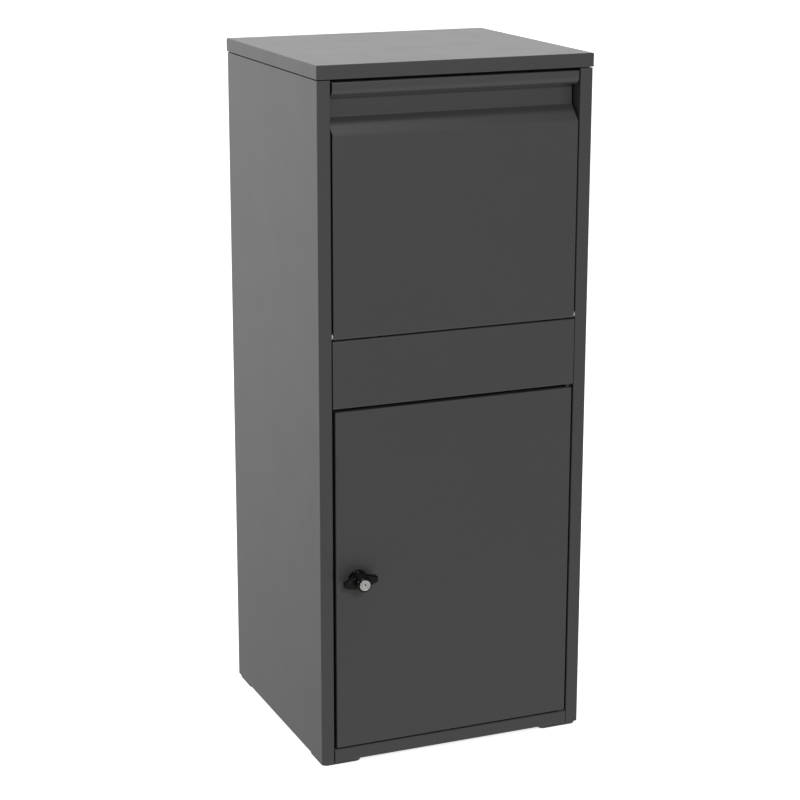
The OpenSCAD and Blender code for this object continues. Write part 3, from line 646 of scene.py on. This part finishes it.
def make_bumpers(name, node):
    """Rubber buttons that look forwards, one for each solid of the node."""
    meshes = []
    for low, high in solids_of(node):
        centre = (low + high) / 2
        button = rubber_button((high.x - low.x) / 2 / MM, (high.y - low.y) / MM)
        meshes.append(standing(button, (centre.x, high.y, centre.z), OUTWARD))
    piece(name, joined(meshes), "cabinet", "rubber", [node])


def make_stop_buffers():
    """Ribbed rubber sleeves on the stop studs."""
    meshes = []
    bore_r, edge, grooves, groove = 2.0, 0.9, 3, 0.45
    groove_top, groove_floor = 0.5, 0.2    # half-widths of a groove
    for low, high in solids_of("stop_buffers"):
        centre = (low + high) / 2
        radius, length = (high.z - low.z) / 2 / MM, (high.x - low.x) / MM
        profile = [(bore_r, 0), (radius - edge, 0)] + arc(radius - edge, edge, edge, -60, 0, 4)
        for k in range(1, grooves + 1):
            at = length * k / (grooves + 1)
            profile += [(radius, at - groove_top), (radius - groove, at - groove_floor),
                        (radius - groove, at + groove_floor), (radius, at + groove_top)]
        profile += arc(radius - edge, length - edge, edge, 0, 60, 4)
        profile += [(radius - edge, length), (bore_r, length)]
        sleeve = lathe(in_mm(profile), ring=True, segments=SEGMENTS)
        meshes.append(standing(sleeve, (low.x, centre.y, centre.z), (1, 0, 0)))
    piece("stop_buffer_sleeves", joined(meshes), "drop_door", "rubber", ["stop_buffers"])


make_wing_knob()
make_key_plug()
make_lock_housing()
make_lock_nut()
make_cam_screw()
make_feet()
make_fasteners("back_panel_rivets", "back_rivets", "cabinet", RIVET_HEAD_H,
               lambda centre: (0, -1, 0), lambda below: pop_rivet(below, tail=False))
make_fasteners("mid_panel_pop_rivets", "mid_panel_rivets", "cabinet", RIVET_HEAD_H,
               lambda centre: (-math.copysign(1, centre.x), 0, 0), pop_rivet)
make_fasteners("hopper_pop_rivets", "hopper_rivets", "drop_door", RIVET_HEAD_H,
               hopper_rivet_way, pop_rivet)
make_fasteners("cap_socket_screws", "cap_screws", "cabinet", SCREW_HEAD_H,
               lambda centre: (0, 0, -1), pan_screw)
make_fasteners("foot_socket_screws", "foot_screws", "cabinet", SCREW_HEAD_H,
               lambda centre: (0, 0, 1), pan_screw)
make_bumpers("access_door_rubber_bumpers", "door_bumpers")
make_bumpers("lintel_rubber_bumpers", "lintel_bumpers")
make_stop_buffers()

# ---- Camera, floor and light ----

CAMERA_PLACE = (-1.2252, -2.8961, 1.3403)
CAMERA_AZIMUTH = 22.816
CAMERA_DOWN = 15.344
CAMERA_ROLL = 0.118
CAMERA_LENS = 98.95
CAMERA_SENSOR = 36
FLOOR_HALF = 60
FLOOR_CELLS = 8
FLOOR_GLOW = 0.72

# Strengths of the studio's light from below and from above, in front of the object and behind
# it, and the ranges of Z and Y in which one turns into the other
FRONT_STRENGTHS = (0.95, 0.22)
BACK_STRENGTHS = (0.5, 1.62)
HORIZON = (-0.5, -0.05)
SIDEWAYS = (0.15, 0.7)

# Place, target, size and power of each lamp
SOFTBOXES = {
    "front_softbox": ((-0.1, -4.3, 2.7), (0, 0, 0.3), 0.8, 75),
    "left_softbox": ((-3.5, 1.0, 2.0), (-0.2, 0, 0.8), 1.0, 60),
    "top_softbox": ((0.3, -0.8, 3.2), (0, -0.2, 0.5), 0.35, 10),
}


def make_camera():
    data = bpy.data.cameras.new("camera")
    data.sensor_width = CAMERA_SENSOR
    data.lens = CAMERA_LENS
    camera = bpy.data.objects.new("camera", data)
    bpy.context.scene.collection.objects.link(camera)
    aim = (Matrix.Rotation(math.radians(-CAMERA_AZIMUTH), 4, "Z")
           @ Matrix.Rotation(math.radians(90 - CAMERA_DOWN), 4, "X")
           @ Matrix.Rotation(math.radians(CAMERA_ROLL), 4, "Z"))
    camera.matrix_world = Matrix.Translation(CAMERA_PLACE) @ aim
    bpy.context.scene.camera = camera


def make_floor():
    """A pale lit table that reaches the horizon and sends no light back onto the object."""
    bm = bmesh.new()
    bmesh.ops.create_grid(bm, x_segments=FLOOR_CELLS, y_segments=FLOOR_CELLS, size=FLOOR_HALF)
    mesh = bpy.data.meshes.new("floor")
    bm.to_mesh(mesh)
    bm.free()
    floor = bpy.data.objects.new("floor", mesh)
    bpy.context.scene.collection.objects.link(floor)
    floor.visible_diffuse = False
    floor.visible_glossy = False
    pale = Finish("pale_floor", IOR=1.3, Emission_Color=(1, 1, 1, 1),
                  Emission_Strength=FLOOR_GLOW)
    pale.colour((0.9, 0.9, 0.9), pale.spread(pale.noise(3), 0.995, 1.005))
    pale.roughness(pale.spread(pale.noise(30), 0.8, 0.9))
    mesh.materials.append(pale.material)


def make_world():
    """A white backdrop to the camera. To the object, a studio whose light comes mostly from below
    in front of it, and mostly from above behind it."""
    world = bpy.data.worlds.new("studio")
    world.use_nodes = True
    tree = world.node_tree
    add, link = tree.nodes.new, tree.links.new
    back = tree.nodes["Background"]
    split = add("ShaderNodeSeparateXYZ")
    link(add("ShaderNodeTexCoord").outputs["Generated"], split.inputs[0])

    def reach(axis, start, end, low, high):
        made = add("ShaderNodeMapRange")
        for key, value in (("From Min", start), ("From Max", end), ("To Min", low),
                           ("To Max", high)):
            made.inputs[key].default_value = value
        link(split.outputs[axis], made.inputs["Value"])
        return made.outputs["Result"]

    def blended(kind, a, b):
        made = add("ShaderNodeMath")
        made.operation = kind
        link(a, made.inputs[0])
        link(b, made.inputs[1])
        return made.outputs[0]

    def weighted(strengths, share):
        low, high = strengths
        return blended("MULTIPLY", reach("Z", *HORIZON, low, high), share)

    studio = blended("ADD", weighted(FRONT_STRENGTHS, reach("Y", *SIDEWAYS, 1.0, 0.0)),
                     weighted(BACK_STRENGTHS, reach("Y", *SIDEWAYS, 0.0, 1.0)))
    seen = add("ShaderNodeLightPath").outputs["Is Camera Ray"]
    link(blended("MAXIMUM", studio, seen), back.inputs["Strength"])
    back.inputs["Color"].default_value = (1, 1, 1, 1)
    bpy.context.scene.world = world


def make_softbox(name, place, target, size, power):
    """A square area lamp at place that faces target."""
    data = bpy.data.lights.new(name, "AREA")
    data.size = size
    data.energy = power
    lamp = bpy.data.objects.new(name, data)
    bpy.context.scene.collection.objects.link(lamp)
    way = Vector(target) - Vector(place)
    turn = way.to_track_quat("-Z", "Y").to_matrix().to_4x4()
    lamp.matrix_world = Matrix.Translation(place) @ turn


make_camera()
make_floor()
make_world()
for name, settings in SOFTBOXES.items():
    make_softbox(name, *settings)
bpy.context.scene.view_settings.view_transform = "Standard"
